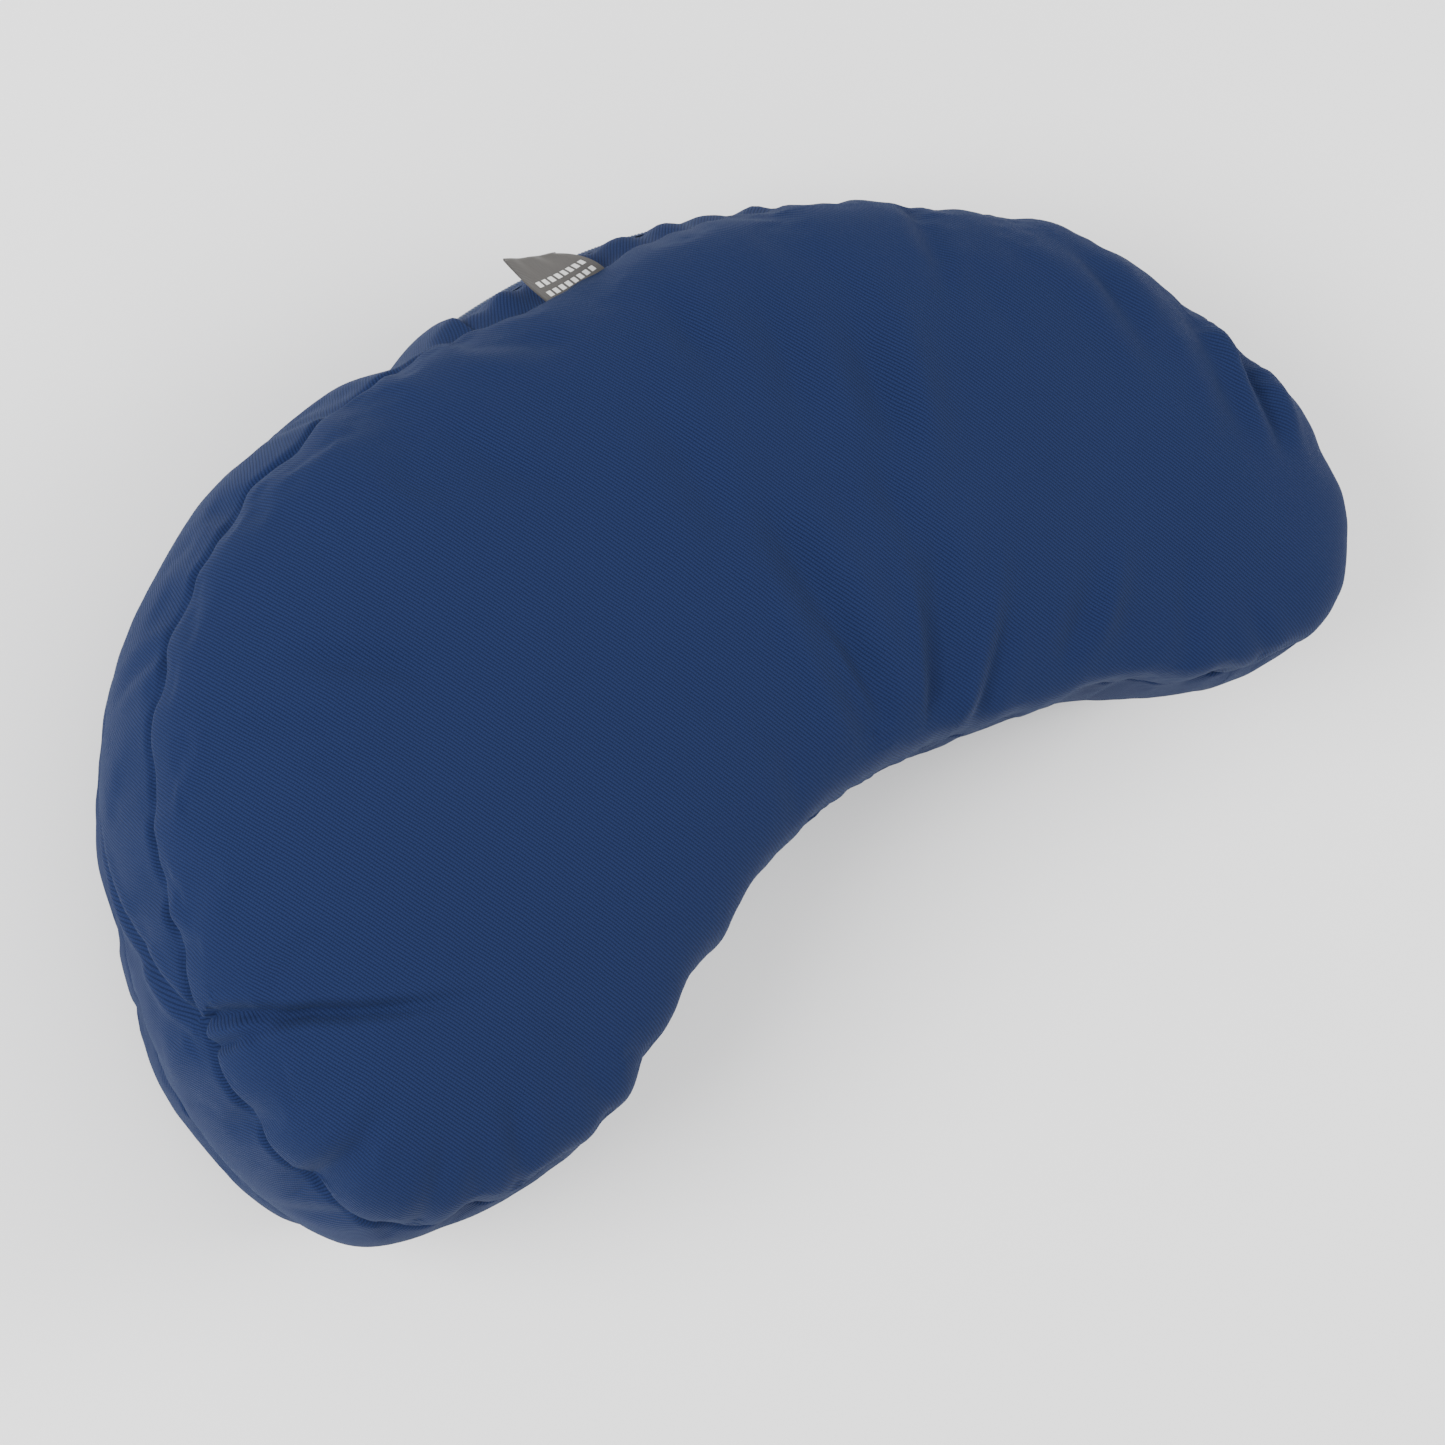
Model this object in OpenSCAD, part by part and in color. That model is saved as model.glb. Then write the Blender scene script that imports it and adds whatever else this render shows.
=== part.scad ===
// Crescent lumbar cushion: a zipped twill cover around a filled inner bag.
// The outline is four arcs that run into each other: a long outer one, a short
// inner one and two rounded ends. The points midway between the two long sides
// lie on an ellipse, the spine, and every panel is laid out on ribs that run
// from the spine to the seam. The origin is on the flat base, below the middle.

/* [Outline] */
// Radius of the long outer curve, at the seams
outer_r = 220; // [190:1:270]
// Radius of the short inner curve, at the seams
inner_r = 178; // [150:1:210]
// Width across the middle, from the inner to the outer seam
waist_w = 185; // [155:1:220]
// Radius of the two rounded ends
tip_r = 66; // [55:1:90]
// How far the filling pushes out the lobe beyond the zip's hooded end
lobe_swell = 15; // [0:1:20]

/* [Height] */
// Height of the side band, between its two seams
band_h = 56; // [40:1:80]
// How far the side band swells out between its seams
band_bulge = 3; // [2:0.5:8]
// Rise of the upper panel above its seam, at the middle
crown_h = 38; // [20:1:50]
// Roundness of the upper panel's edge: 2 is an ellipse, more is squarer
crown_round = 2.3; // [2:0.1:3]
// How fast the crown drops towards the narrower ends
crown_taper = 0.65; // [0.2:0.05:1]
// Drop of the lower panel below its seam
base_h = 38; // [20:1:50]
// Share of each rib that lies flat on the floor
base_flat = 0.6; // [0.5:0.05:0.8]

/* [Cloth] */
// Thickness of the twill cover
cover_t = 1.2; // [0.8:0.1:2]
// Thickness of the inner bag's cotton
liner_t = 0.8; // [0.5:0.1:1.5]
// Room between the cover and the inner bag
liner_gap = 1.8; // [1.2:0.1:4]
// Room between the inner bag and its filling
fill_gap = 0.3; // [0.2:0.1:1]

/* [Zip] */
// Direction of the zip's hooded end, anticlockwise from +X
zip_hood_at = 99.5; // [90:0.5:110]
// Distance from the zip's closed end to the start of the rounded end
zip_margin = 25; // [5:1:80]
// Gap between the slider's side and the facing's folded edge
slot_clear = 0.7; // [0.5:0.1:2]
// Width of the closed teeth
teeth_w = 6.4; // [5:0.1:8]
// Thickness of the teeth
teeth_t = 1.8; // [1.4:0.1:2.4]
// Width of tape that each facing covers
tape_hidden_w = 8; // [5:0.5:12]
// Thickness of each woven tape
tape_t = 0.6; // [0.4:0.1:0.8]
// Gap between the two rows of teeth
teeth_split = 0.2; // [0.1:0.1:0.4]
// Length of each end stop, along the zip
stop_l = 3; // [2:0.5:5]
// How far each end stop stands above the teeth
stop_t = 0.5; // [0.4:0.1:0.8]

/* [Slider] */
// Length of the slider, along the zip
slider_l = 10; // [8:0.5:12]
// Wall of the slider
slider_wall = 1; // [0.8:0.1:1.4]
// Clearance between the slider and what it rides on
slide_clear = 0.3; // [0.2:0.05:0.5]
// Radius of the pin that the pull tab swings on
pin_r = 0.7; // [0.5:0.05:0.9]
// Radial clearance of the pull tab on its pin
pin_clear = 0.08; // [0.05:0.01:0.1]
// Length of the pull tab, from its pin to its end
tab_l = 24; // [18:1:32]
// Width of the pull tab
tab_w = 7; // [6:0.5:9]
// Thickness of the pull tab
tab_t = 1.2; // [1:0.1:1.8]

/* [Hood and label] */
// Length of the folded cloth hood over one end of the zip
hood_l = 18; // [14:1:26]
// Width of the hood's two stitched edges
hood_hem = 3; // [2:0.5:5]
// Width of the folded side label, along the seam
label_w = 22; // [15:1:35]
// Length of the side label, out from the seam
label_l = 17; // [10:1:25]
// Thickness of the label's ribbon
label_t = 0.4; // [0.3:0.05:0.6]
// Inner radius of the label's fold
label_fold_r = 0.5; // [0.4:0.1:1]
// Distance along the outer curve from the hood to the label
label_step = 24; // [2:1:40]

/* [Hidden] */

// How finely the soft panels are divided
spine_steps = 30;
fan_steps = 12;
panel_steps = 7;
band_steps = 8;
margin_steps = 4;
round_fn = 48;

// Plan: the outer arc's centre lies behind the origin, so that the origin is
// under the middle of the outline.
focus_gap = waist_w - outer_r + inner_r;
tip_y = (pow(inner_r + tip_r, 2) - pow(outer_r - tip_r, 2) - pow(focus_gap, 2))
    / (2 * focus_gap);
tip_x = sqrt(pow(outer_r - tip_r, 2) - pow(tip_y, 2));
outer_c = [0, -(outer_r + tip_y - tip_r) / 2];
inner_c = outer_c - [0, focus_gap];
right_tip_c = outer_c + [tip_x, tip_y];
left_tip_c = outer_c + [-tip_x, tip_y];

// Spine: the ellipse whose foci are the centres of the two long arcs
spine_c = focus_gap / 2;
spine_a = (outer_r + inner_r) / 2;
spine_b = sqrt(pow(spine_a, 2) - pow(spine_c, 2));
spine_end = atan2(tip_x / spine_b, (tip_y + spine_c) / spine_a);

// Directions at which the arcs meet
outer_turn = atan2(tip_y, tip_x);
inner_turn = atan2(tip_y + focus_gap, tip_x);
tip_span = inner_turn - 180 - outer_turn;

// Heights
top_seam_z = base_h + band_h;
zip_z = base_h + band_h / 2;

// Depths of each layer below the cover's outer face
liner_depth = cover_t + tape_t + liner_gap;
fill_depth = liner_depth + liner_t + fill_gap;

// Zip: angles about the outer arc's centre, and radii at the band's fullest
zip_r = outer_r + band_bulge;
mm_angle = 180 / PI / zip_r;
zip_end_at = outer_turn + zip_margin * mm_angle;
hood_wall = 2 * cover_t;
teeth_from = zip_hood_at - hood_wall * mm_angle;
teeth_top = teeth_t - cover_t;
stop_top = teeth_top + stop_t;
hood_rise = stop_top + slide_clear;
hood_to = zip_hood_at - hood_l * mm_angle;
park_at = zip_end_at + (stop_l + slider_l / 2 + slide_clear) * mm_angle;
plate_from = teeth_top + slide_clear;
plate_to = plate_from + slider_wall;
flange_in = teeth_w / 2 + slide_clear;
flange_out = flange_in + slider_wall;
slot_half = flange_out + slot_clear;
tape_w = slot_half + tape_hidden_w - teeth_split;
pin_wall = 0.8;
eye_r = pin_r + pin_clear + pin_wall;
pin_x = plate_to + slide_clear + eye_r;
lug_r = pin_r + pin_wall;
lug_out = flange_out - slider_wall;
lug_in = lug_out / 2;
neck_w = 2 * (lug_in - slide_clear);
neck_overlap = 1.5;
tab_hole_r = 1.6;
label_at = hood_to - (label_step + label_w / 2) * mm_angle;

cover_colour = [0.13, 0.24, 0.42];
zip_colour = [0.10, 0.17, 0.30];
metal_colour = [0.62, 0.63, 0.65];
label_colour = [0.38, 0.37, 0.36];
liner_colour = [0.86, 0.82, 0.72];
hull_colour = [0.28, 0.20, 0.14];

// ---- plan functions ----

function unit(angle) = [cos(angle), sin(angle)];
function heading(v) = atan2(v.y, v.x);

// Point on the spine, from -1 at the left end to 1 at the right end
function spine(u) = outer_c + [spine_b * sin(u * spine_end), spine_a * cos(u * spine_end) - spine_c];
function half_width(p) = outer_r - norm(p - outer_c);

// Extra reach of the outer curve at a direction from its centre: it rises and
// falls smoothly between the zip's hooded end and the left rounded end
function swell(angle) = let (share = (angle - zip_hood_at) / (180 - outer_turn - zip_hood_at))
    lobe_swell * pow(sin(180 * max(0, min(1, share))), 2);

// A rib is [root on the spine, direction, length, number of its spine point,
// half width of the outline there]
function rib(root, angle, extra, number, half) = [root, angle, half + extra, number, half];
ribs = concat(
    [for (i = [0:spine_steps]) let (p = spine(2 * i / spine_steps - 1), a = heading(p - outer_c))
        rib(p, a, swell(a), i, half_width(p))],
    [for (i = [1:fan_steps - 1]) let (a = outer_turn + tip_span * i / fan_steps)
        rib(right_tip_c, a, 0, spine_steps, tip_r)],
    [for (i = [spine_steps:-1:0]) let (p = spine(2 * i / spine_steps - 1))
        rib(p, heading(inner_c - p), 0, i, half_width(p))],
    [for (i = [1:fan_steps - 1]) let (a = -inner_turn + tip_span * i / fan_steps)
        rib(left_tip_c, a, 0, 0, tip_r)]
);
rib_count = len(ribs);

// ---- height functions ----

// Height of the upper panel at share t of a rib, depth e below the outer face
function crown_rise(rib) = crown_h * pow(rib[4] / (waist_w / 2), crown_taper);
function crown_z(rib, t, e) = top_seam_z
    + (crown_rise(rib) - e) * pow(1 - pow(t, crown_round), 1 / crown_round);

// Height of the lower panel: flat, then a quarter ellipse up to its seam
function base_z(t, e) = let (s = max(0, t - base_flat) / (1 - base_flat))
    e + (base_h - e) * (1 - sqrt(max(0, 1 - s * s)));

// Swell of the band at height z, as straight facets between fixed levels
bulge_table = [for (i = [0:band_steps])
    [base_h + band_h * i / band_steps, band_bulge * sin(180 * i / band_steps)]];
function bulge(z) = lookup(z, bulge_table);
function levels(z0, z1) = concat([z0],
    [for (row = bulge_table) if (row[0] > z0 + 0.01 && row[0] < z1 - 0.01) row[0]], [z1]);

// ---- rings of points around the ribs ----

function rib_point(rib, reach, z) = let (p = rib[0] + reach * unit(rib[1])) [p.x, p.y, z];
function crown_ring(t, e) = [for (rib = ribs) rib_point(rib, t * (rib[2] - e), crown_z(rib, t, e))];
function base_ring(t, e) = [for (rib = ribs) rib_point(rib, t * (rib[2] - e), base_z(t, e))];
function band_ring(z, e) = [for (rib = ribs) rib_point(rib, rib[2] - e + bulge(z), z)];

// Shares of a rib from the seam inwards, close together near the seam
crown_shares = [for (i = [0:panel_steps]) cos(90 * i / (panel_steps + 1))];
base_shares = [for (i = [0:panel_steps]) base_flat + (1 - base_flat) * cos(90 * i / panel_steps)];
function crown_rings(e) = [for (t = crown_shares) crown_ring(t, e)];
function base_rings(e) = [for (t = base_shares) base_ring(t, e)];
function crown_spine(e) = [for (i = [0:spine_steps]) rib_point(ribs[i], 0, crown_z(ribs[i], 0, e))];
function base_spine(e) = [for (i = [0:spine_steps]) rib_point(ribs[i], 0, e)];
function reversed(list) = [for (i = [len(list) - 1:-1:0]) list[i]];
function flat(lists) = [for (list = lists) for (item = list) item];

// ---- solids ----

// A skin over a stack of rings that closes on a spine at each end
module capped_stack(first_spine, rings, last_spine) {
    last_ring = (len(rings) - 1) * rib_count;
    first_at = len(rings) * rib_count;
    last_at = first_at + len(first_spine);
    sides = [for (k = [0:len(rings) - 2]) for (j = [0:rib_count - 1])
        let (n = (j + 1) % rib_count)
        [k * rib_count + j, k * rib_count + n, (k + 1) * rib_count + n, (k + 1) * rib_count + j]];
    first_cap = [for (j = [0:rib_count - 1])
        let (n = (j + 1) % rib_count, a = first_at + ribs[j][3], b = first_at + ribs[n][3])
        a == b ? [n, j, a] : [n, j, a, b]];
    last_cap = [for (j = [0:rib_count - 1])
        let (n = (j + 1) % rib_count, a = last_at + ribs[j][3], b = last_at + ribs[n][3])
        a == b ? [last_ring + j, last_ring + n, a] : [last_ring + j, last_ring + n, b, a]];
    polyhedron(concat(flat(rings), first_spine, last_spine), concat(sides, first_cap, last_cap));
}

module crown_shell(e, thickness) {
    capped_stack(crown_spine(e), concat(reversed(crown_rings(e)), crown_rings(e + thickness)),
        crown_spine(e + thickness));
}

module base_shell(e, thickness) {
    capped_stack(base_spine(e + thickness), concat(reversed(base_rings(e + thickness)), base_rings(e)),
        base_spine(e));
}

// A strip of band swept along a path of [point, outward direction]
module swept_strip(path, e, thickness, closed) {
    heights = levels(base_h, top_seam_z);
    rows = len(heights);
    size = 2 * rows;
    spans = closed ? len(path) : len(path) - 1;
    far = (len(path) - 1) * size;
    points = [for (stop = path) for (side = [0, 1]) for (i = [0:rows - 1])
        let (z = heights[side == 0 ? i : rows - 1 - i],
            p = stop[0] + (bulge(z) - e - side * thickness) * unit(stop[1]))
        [p.x, p.y, z]];
    walls = [for (k = [0:spans - 1]) for (i = [0:size - 1])
        let (a = k * size, b = ((k + 1) % len(path)) * size, n = (i + 1) % size)
        [a + i, a + n, b + n, b + i]];
    near_end = [for (i = [0:rows - 2]) [i + 1, i, size - 1 - i, size - 2 - i]];
    far_end = [for (i = [0:rows - 2]) [far + i, far + i + 1, far + size - 2 - i, far + size - 1 - i]];
    polyhedron(points, closed ? walls : concat(walls, near_end, far_end));
}

// Points along an arc, with the direction that faces away from the cushion
function arc(centre, r, from, to, steps, facing) =
    [for (i = [0:steps]) let (a = from + (to - from) * i / steps) [centre + r * unit(a), a + facing]];

// The outer arc again, pushed out by its swell
function swollen_arc(from, to, steps) = [for (i = [0:steps])
    let (a = from + (to - from) * i / steps) [outer_c + (outer_r + swell(a)) * unit(a), a]];

// The outline from the zip's hooded end, round both rounded ends, to its closed end
band_path = concat(
    swollen_arc(zip_hood_at, 180 - outer_turn, spine_steps),
    [for (i = [1:fan_steps]) arc(left_tip_c, tip_r, 180 - outer_turn, 360 - inner_turn, fan_steps, 0)[i]],
    [for (i = [1:spine_steps]) arc(inner_c, inner_r, 180 - inner_turn, inner_turn, spine_steps, 180)[i]],
    [for (i = [1:fan_steps]) arc(right_tip_c, tip_r, inner_turn - 180, outer_turn, fan_steps, 0)[i]],
    [for (i = [1:margin_steps]) arc(outer_c, outer_r, outer_turn, zip_end_at, margin_steps, 0)[i]]
);
rib_path = [for (rib = reversed(ribs)) [rib[0] + rib[2] * unit(rib[1]), rib[1]]];

// Points on the band's section at the zip, at depth e below its outer face
function zip_face(heights, e) = [for (z = heights) [outer_r + bulge(z) - e, z]];

// Carries a section round the outer arc between two directions, as true
// surfaces of revolution
module along_zip(from, to) {
    translate([outer_c.x, outer_c.y, 0])
        rotate([0, 0, from])
            rotate_extrude(angle = to - from, $fn = round_fn)
                children();
}

// A strip of band along the zip, from depth e_in up to depth e_out
module zip_strip(from, to, z0, z1, e_out, e_in) {
    heights = levels(z0, z1);
    along_zip(from, to)
        polygon(concat(zip_face(heights, e_out), zip_face(reversed(heights), e_in)));
}

// Puts its children on the zip: X points out, Y along it and Z up
module on_zip(angle) {
    translate([outer_c.x, outer_c.y, 0])
        rotate([0, 0, angle])
            translate([zip_r, 0, zip_z])
                children();
}

// ---- cover ----

module cover_top_panel() {
    color(cover_colour) crown_shell(0, cover_t);
}

module cover_bottom_panel() {
    color(cover_colour) base_shell(0, cover_t);
}

module cover_band() {
    color(cover_colour) swept_strip(band_path, 0, cover_t, false);
}

module zip_facing_upper() {
    color(cover_colour)
        zip_strip(zip_end_at, zip_hood_at, zip_z + slot_half, top_seam_z, 0, cover_t);
}

module zip_facing_lower() {
    color(cover_colour)
        zip_strip(zip_end_at, zip_hood_at, base_h, zip_z - slot_half, 0, cover_t);
}

// The end of the band, folded double: it stands over one end of the zip and
// comes down to the facings along both seams
module zip_hood() {
    upper_edge = top_seam_z - hood_hem;
    lower_edge = base_h + hood_hem;
    color(cover_colour)
        along_zip(hood_to, zip_hood_at)
            polygon(concat(
                zip_face(levels(base_h, top_seam_z), -hood_rise - hood_wall),
                zip_face([top_seam_z, upper_edge], 0),
                zip_face(reversed(levels(lower_edge, upper_edge)), -hood_rise),
                zip_face([lower_edge, base_h], 0)));
}

// A ribbon folded in two, sewn into the upper seam and standing out from it
module side_label() {
    fold_out = label_fold_r + label_t;
    leaf_l = label_l - fold_out;
    color(label_colour)
        translate([outer_c.x, outer_c.y, top_seam_z + fold_out])
            rotate([0, 0, label_at])
                translate([outer_r + slide_clear, label_w / 2, 0])
                    rotate([90, 0, 0])
                        linear_extrude(label_w)
                            difference() {
                                union() {
                                    translate([0, -fold_out]) square([leaf_l, 2 * fold_out]);
                                    translate([leaf_l, 0]) circle(fold_out, $fn = round_fn);
                                }
                                translate([-1, -label_fold_r]) square([leaf_l + 1, 2 * label_fold_r]);
                                translate([leaf_l, 0]) circle(label_fold_r, $fn = round_fn);
                            }
}

// ---- zip ----

module zip_tape_upper() {
    color(zip_colour)
        zip_strip(zip_end_at, zip_hood_at, zip_z + teeth_split, zip_z + teeth_split + tape_w,
            cover_t, cover_t + tape_t);
}

module zip_tape_lower() {
    color(zip_colour)
        zip_strip(zip_end_at, zip_hood_at, zip_z - teeth_split - tape_w, zip_z - teeth_split,
            cover_t, cover_t + tape_t);
}

module zip_teeth_upper() {
    color(zip_colour)
        zip_strip(zip_end_at, teeth_from, zip_z + teeth_split / 2, zip_z + teeth_w / 2,
            -teeth_top, cover_t);
}

module zip_teeth_lower() {
    color(zip_colour)
        zip_strip(zip_end_at, teeth_from, zip_z - teeth_w / 2, zip_z - teeth_split / 2,
            -teeth_top, cover_t);
}

module zip_top_stops() {
    color(metal_colour)
        for (side = [0, 1])
            zip_strip(zip_end_at, zip_end_at + stop_l * mm_angle,
                zip_z + (side == 0 ? teeth_split / 2 : -teeth_w / 2),
                zip_z + (side == 0 ? teeth_w / 2 : -teeth_split / 2), -stop_top, -teeth_top);
}

module zip_bottom_stop() {
    color(metal_colour)
        zip_strip(teeth_from - stop_l * mm_angle, teeth_from, zip_z - teeth_w / 2,
            zip_z + teeth_w / 2, -stop_top, -teeth_top);
}

// Channel that straddles the teeth, with two lugs and a pin for the pull tab
module zip_slider() {
    half_angle = slider_l / 2 * mm_angle;
    color(metal_colour) {
        translate([outer_c.x, outer_c.y, zip_z])
            rotate([0, 0, park_at - half_angle])
                rotate_extrude(angle = 2 * half_angle, $fn = round_fn) {
                    translate([zip_r + plate_from, -flange_out]) square([slider_wall, 2 * flange_out]);
                    for (flange_y = [-flange_out, flange_in])
                        translate([zip_r - cover_t + slide_clear, flange_y])
                            square([cover_t + plate_to - slide_clear, slider_wall]);
                }
        on_zip(park_at) {
            for (lug_z = [-lug_out, lug_in])
                translate([0, 0, lug_z]) {
                    translate([pin_x, 0, 0]) cylinder(h = lug_out - lug_in, r = lug_r, $fn = round_fn);
                    translate([plate_to - slider_wall / 2, -lug_r, 0])
                        cube([pin_x - plate_to + slider_wall / 2, 2 * lug_r, lug_out - lug_in]);
                }
            translate([pin_x, 0, -lug_out]) cylinder(h = 2 * lug_out, r = pin_r, $fn = round_fn);
        }
    }
}

// Flat tab with an eye round the pin, lying on past the zip's closed end
module zip_pull_tab() {
    blade_from = lug_r + slide_clear;
    color(metal_colour)
        on_zip(park_at)
            translate([pin_x, 0, 0])
                difference() {
                    union() {
                        translate([0, 0, -neck_w / 2]) cylinder(h = neck_w, r = eye_r, $fn = round_fn);
                        translate([-tab_t / 2, -blade_from - neck_overlap, -neck_w / 2])
                            cube([tab_t, blade_from + neck_overlap, neck_w]);
                        translate([-tab_t / 2, 0, 0])
                            rotate([0, 90, 0])
                                linear_extrude(tab_t) {
                                    translate([-tab_w / 2, -tab_l + tab_w / 2])
                                        square([tab_w, tab_l - tab_w / 2 - blade_from]);
                                    translate([0, -tab_l + tab_w / 2]) circle(tab_w / 2, $fn = round_fn);
                                }
                    }
                    translate([0, 0, -neck_w])
                        cylinder(h = 2 * neck_w, r = pin_r + pin_clear, $fn = round_fn);
                    translate([-tab_t, -tab_l + tab_w / 2, 0])
                        rotate([0, 90, 0]) cylinder(h = 2 * tab_t, r = tab_hole_r, $fn = round_fn);
                }
}

// ---- inner bag ----

module liner_top_panel() {
    color(liner_colour) crown_shell(liner_depth, liner_t);
}

module liner_bottom_panel() {
    color(liner_colour) base_shell(liner_depth, liner_t);
}

module liner_band() {
    color(liner_colour) swept_strip(rib_path, liner_depth, liner_t, true);
}

module hull_filling() {
    middle = [for (i = [1:band_steps - 1]) band_ring(bulge_table[band_steps - i][0], fill_depth)];
    color(hull_colour)
        capped_stack(crown_spine(fill_depth),
            concat(reversed(crown_rings(fill_depth)), middle, base_rings(fill_depth)),
            base_spine(fill_depth));
}

cover_top_panel();
cover_bottom_panel();
cover_band();
zip_facing_upper();
zip_facing_lower();
zip_hood();
side_label();
zip_tape_upper();
zip_tape_lower();
zip_teeth_upper();
zip_teeth_lower();
zip_top_stops();
zip_bottom_stop();
zip_slider();
zip_pull_tab();
liner_top_panel();
liner_bottom_panel();
liner_band();
hull_filling();
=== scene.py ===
import bpy
import numpy as np
from mathutils import Matrix, Vector


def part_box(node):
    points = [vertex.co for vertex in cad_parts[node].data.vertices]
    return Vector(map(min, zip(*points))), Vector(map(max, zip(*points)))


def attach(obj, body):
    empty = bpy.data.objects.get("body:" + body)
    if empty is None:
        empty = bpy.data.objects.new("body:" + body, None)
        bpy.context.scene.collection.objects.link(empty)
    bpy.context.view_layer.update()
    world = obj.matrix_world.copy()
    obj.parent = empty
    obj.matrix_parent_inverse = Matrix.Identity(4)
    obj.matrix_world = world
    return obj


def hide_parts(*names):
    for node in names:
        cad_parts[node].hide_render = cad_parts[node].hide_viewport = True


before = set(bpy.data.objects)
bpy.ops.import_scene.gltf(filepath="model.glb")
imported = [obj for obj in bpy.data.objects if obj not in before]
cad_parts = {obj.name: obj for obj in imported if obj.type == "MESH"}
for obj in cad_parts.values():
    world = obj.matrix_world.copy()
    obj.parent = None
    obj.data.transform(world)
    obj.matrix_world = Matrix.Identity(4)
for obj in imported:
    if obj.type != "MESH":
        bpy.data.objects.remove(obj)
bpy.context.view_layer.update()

mm, perMetre = .001, 1000

# What a user would change, one dictionary per piece. Lengths are in metres.
crescent = dict(outerRadius=.220, innerRadius=.178, waist=.185, tipRadius=.066,
                seamHeight=.094, bottomSeamHeight=.038, crownRise=.038, crownTaper=.65,
                edgeRoundness=2.6, edgeSquareness=1.9, edgeOpening=.35,
                outerShoulder=.0057, innerShoulder=.0116, shoulderWidth=.0975,
                bottomFlat=.6, bottomShoulder=.006, bandBulge=.005, zipBulge=.003)
meshing = dict(capColumns=18, mainColumns=100, rows=48, bandRows=12, refine=3)
# Soft changes of the outline: share of the way round it, half width of the bump, size
outlineBumps = [(.110, .125, .0225), (.050, .040, .0030), (.010, .035, .0035), (.290, .070, -.0020),
                (.420, .070, .0022), (.552, .045, .0045), (.632, .075, -.0148), (.720, .050, -.0025),
                (.810, .045, .0034), (.889, .055, -.0056), (.931, .022, .0035), (.125, .028, -.0018),
                (.375, .028, -.0022), (.432, .020, .0020)]
# The same for the lower seam alone, for the upper seam alone, and for the upper seam's height
bottomSeamBumps = [(.670, .120, -.0060)]
topSeamBumps = [(.247, .045, -.0062), (.395, .050, .0020)]
topHeightBumps = [(.375, .080, .0030), (.085, .060, -.0020), (.950, .050, .0025), (.270, .040, -.0015)]
zipper = dict(hoodAt=99.5, endMargin=.025, height=.066, slotHalf=.0052, edgeClear=.0004, hem=.008,
              facingRows=15, joinColumns=6, ripple=.0006)
hoodCloth = dict(length=.018, rest=.0004, lift=.0028, side=.16, fold=.0007, rows=33, hemColumns=8)
coil = dict(width=.0064, top=.0006, pitch=.0012, gap=.0001, sink=.0004, stand=.0002, wobble=.00025,
            inset=.0024, stepsPerTooth=8, sectionPoints=9)
cloth = dict(thickness=.0012, seed=7, frames=22, pressure=3.2, seamShrink=.030, wrinkle=.6,
             deepest=.0030, averages=60)
seam = dict(tuck=.0016, tuckReach=.0014, puckerReach=.010, pucker=.00030, wander=.0008, rise=.0009,
            calmByZip=.7, topstitch=.004, topstitchHalf=.0011, topstitchDepth=.0004)
label = dict(width=.0215, length=.0190, thickness=.0005, lift=.0010, twist=4., curl=.0024, lean=-.0104,
             slant=-.0060, droop=.36, gap=.0007, inset=.0022, seatHeight=.0946, rootShare=.82,
             ripple=.0004, steps=41, columns=33)
liner = dict(gap=.0075, fill=.0105, swell=7)
# Dashes on the label: their rows along it, the dashes across it, and where the two rows lie
dash = dict(ribPitch=.0005, rowPitch=.0042, rowHalf=.26, pitch=.0023, half=.33, reach=.0092, place=1.72)
skinParts = ("top", "bottom", "band")
shot = dict(heading=169.3, tilt=22.6, roll=-31.2, distance=1.37, focus=(0, 0, .040), lens=106.5,
            lookRight=.015, lookUp=-.020)
rng = np.random.default_rng(cloth["seed"])


def heading(v):
    return np.arctan2(v[..., 1], v[..., 0])


def unit(a):
    return np.stack([np.cos(a), np.sin(a)], -1)


# Four arcs that run into each other: centres of the long arcs and of the tips,
# the spine ellipse between them, and the directions at which the arcs meet.
def outlineArcs(c):
    gap = c["waist"] - c["outerRadius"] + c["innerRadius"]
    tipReach = c["outerRadius"] - c["tipRadius"]
    tipY = ((c["innerRadius"] + c["tipRadius"]) ** 2 - tipReach ** 2 - gap ** 2) / (2 * gap)
    tipX = np.sqrt(tipReach ** 2 - tipY ** 2)
    outerCentre = np.array([0, -(c["outerRadius"] + tipY - c["tipRadius"]) / 2])
    a = (c["outerRadius"] + c["innerRadius"]) / 2
    b = np.sqrt(a ** 2 - (gap / 2) ** 2)
    outerTurn, innerTurn = np.arctan2(tipY, tipX), np.arctan2(tipY + gap, tipX)
    lengths = np.array([c["outerRadius"] * (np.pi - 2 * outerTurn),
                        c["tipRadius"] * (np.pi - innerTurn + outerTurn),
                        c["innerRadius"] * (np.pi - 2 * innerTurn),
                        c["tipRadius"] * (np.pi - innerTurn + outerTurn)])
    return dict(outerCentre=outerCentre, innerCentre=outerCentre - [0, gap],
                rightTip=outerCentre + [tipX, tipY], leftTip=outerCentre + [-tipX, tipY],
                a=a, b=b, halfGap=gap / 2, spineEnd=np.arctan2(tipX / b, (tipY + gap / 2) / a),
                outerTurn=outerTurn, innerTurn=innerTurn, length=lengths.sum(),
                ends=np.cumsum(lengths) / lengths.sum())


arcs = outlineArcs(crescent)
bandDrop = crescent["seamHeight"] - crescent["bottomSeamHeight"]
zipRadius = crescent["outerRadius"] + crescent["zipBulge"]


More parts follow.
